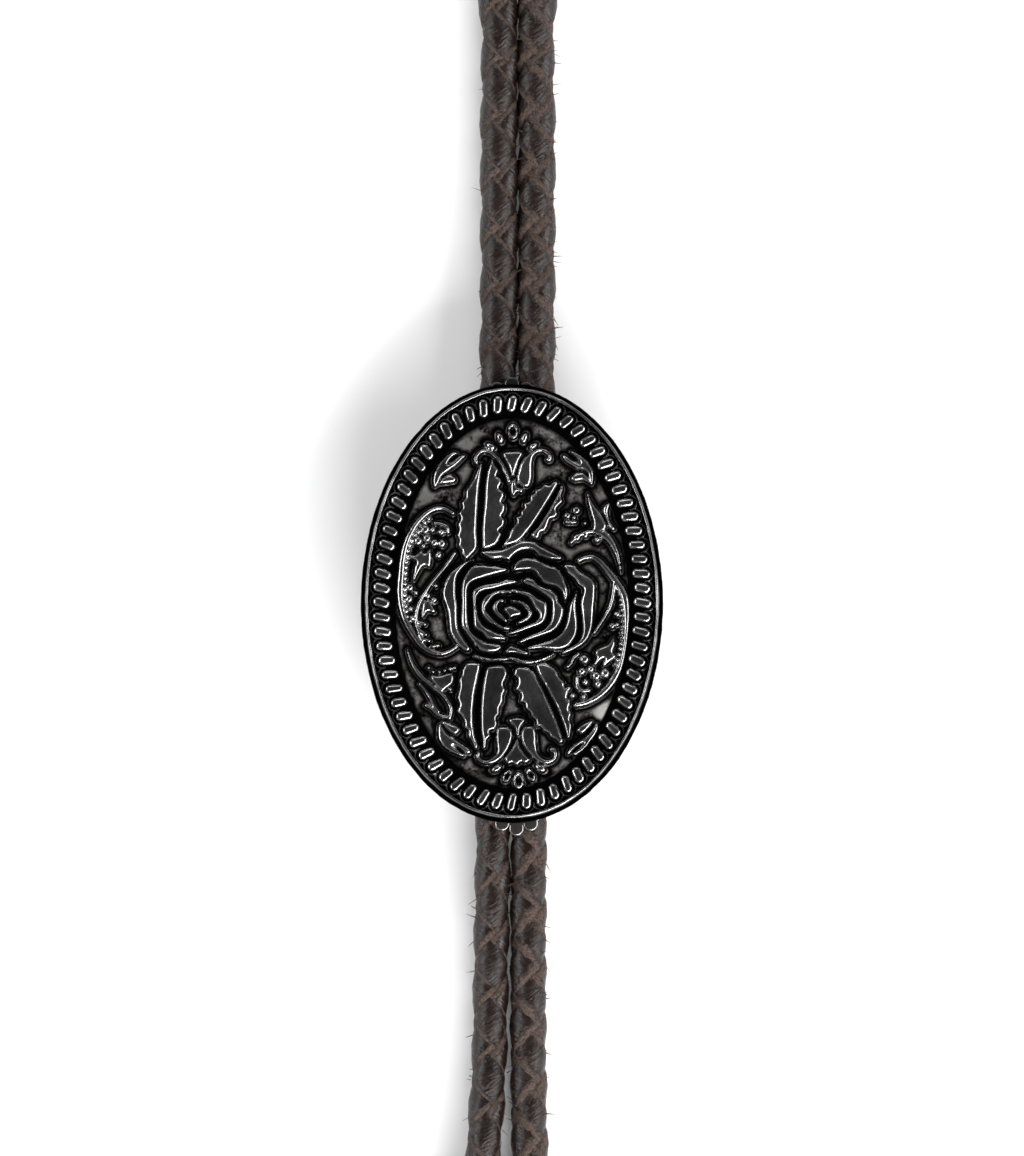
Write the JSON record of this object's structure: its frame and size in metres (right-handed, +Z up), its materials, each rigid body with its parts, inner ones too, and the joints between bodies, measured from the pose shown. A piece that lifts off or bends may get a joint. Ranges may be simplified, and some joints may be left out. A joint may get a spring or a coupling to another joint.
{
  "type": "bolo tie",
  "caption": "Bolo tie with a blackened floral oval slide, a round braided leather neck cord with parallel runs, and metal tips on its free ends.",
  "frame": {"origin": "the middle of the clip's flat back, on the surface the tie lies on", "axes": "+Z up, out of the ornament's face; +Y along the ornament and the cord runs towards the neck loop; +X to the right as seen from above"},
  "size_m": [0.1656, 0.3839, 0.0088],
  "materials": {
    "blackened_nickel": "cast, blackened and lacquered: glossy raised edges over black recesses, a fine sandy ground",
    "bright_nickel": "bright nickel plate with a fine brush",
    "braided_leather": "dark brown grain leather laces, four-strand round braid, with lighter reddish-brown cut edges"
  },
  "bodies": {
    "root": {"concho": "blackened_nickel", "slide_clip": "bright_nickel", "neck_cord": "braided_leather", "left_cord_end": "braided_leather", "right_cord_end": "braided_leather", "left_tip": "bright_nickel", "right_tip": "bright_nickel"}
  },
  "joints": []
}
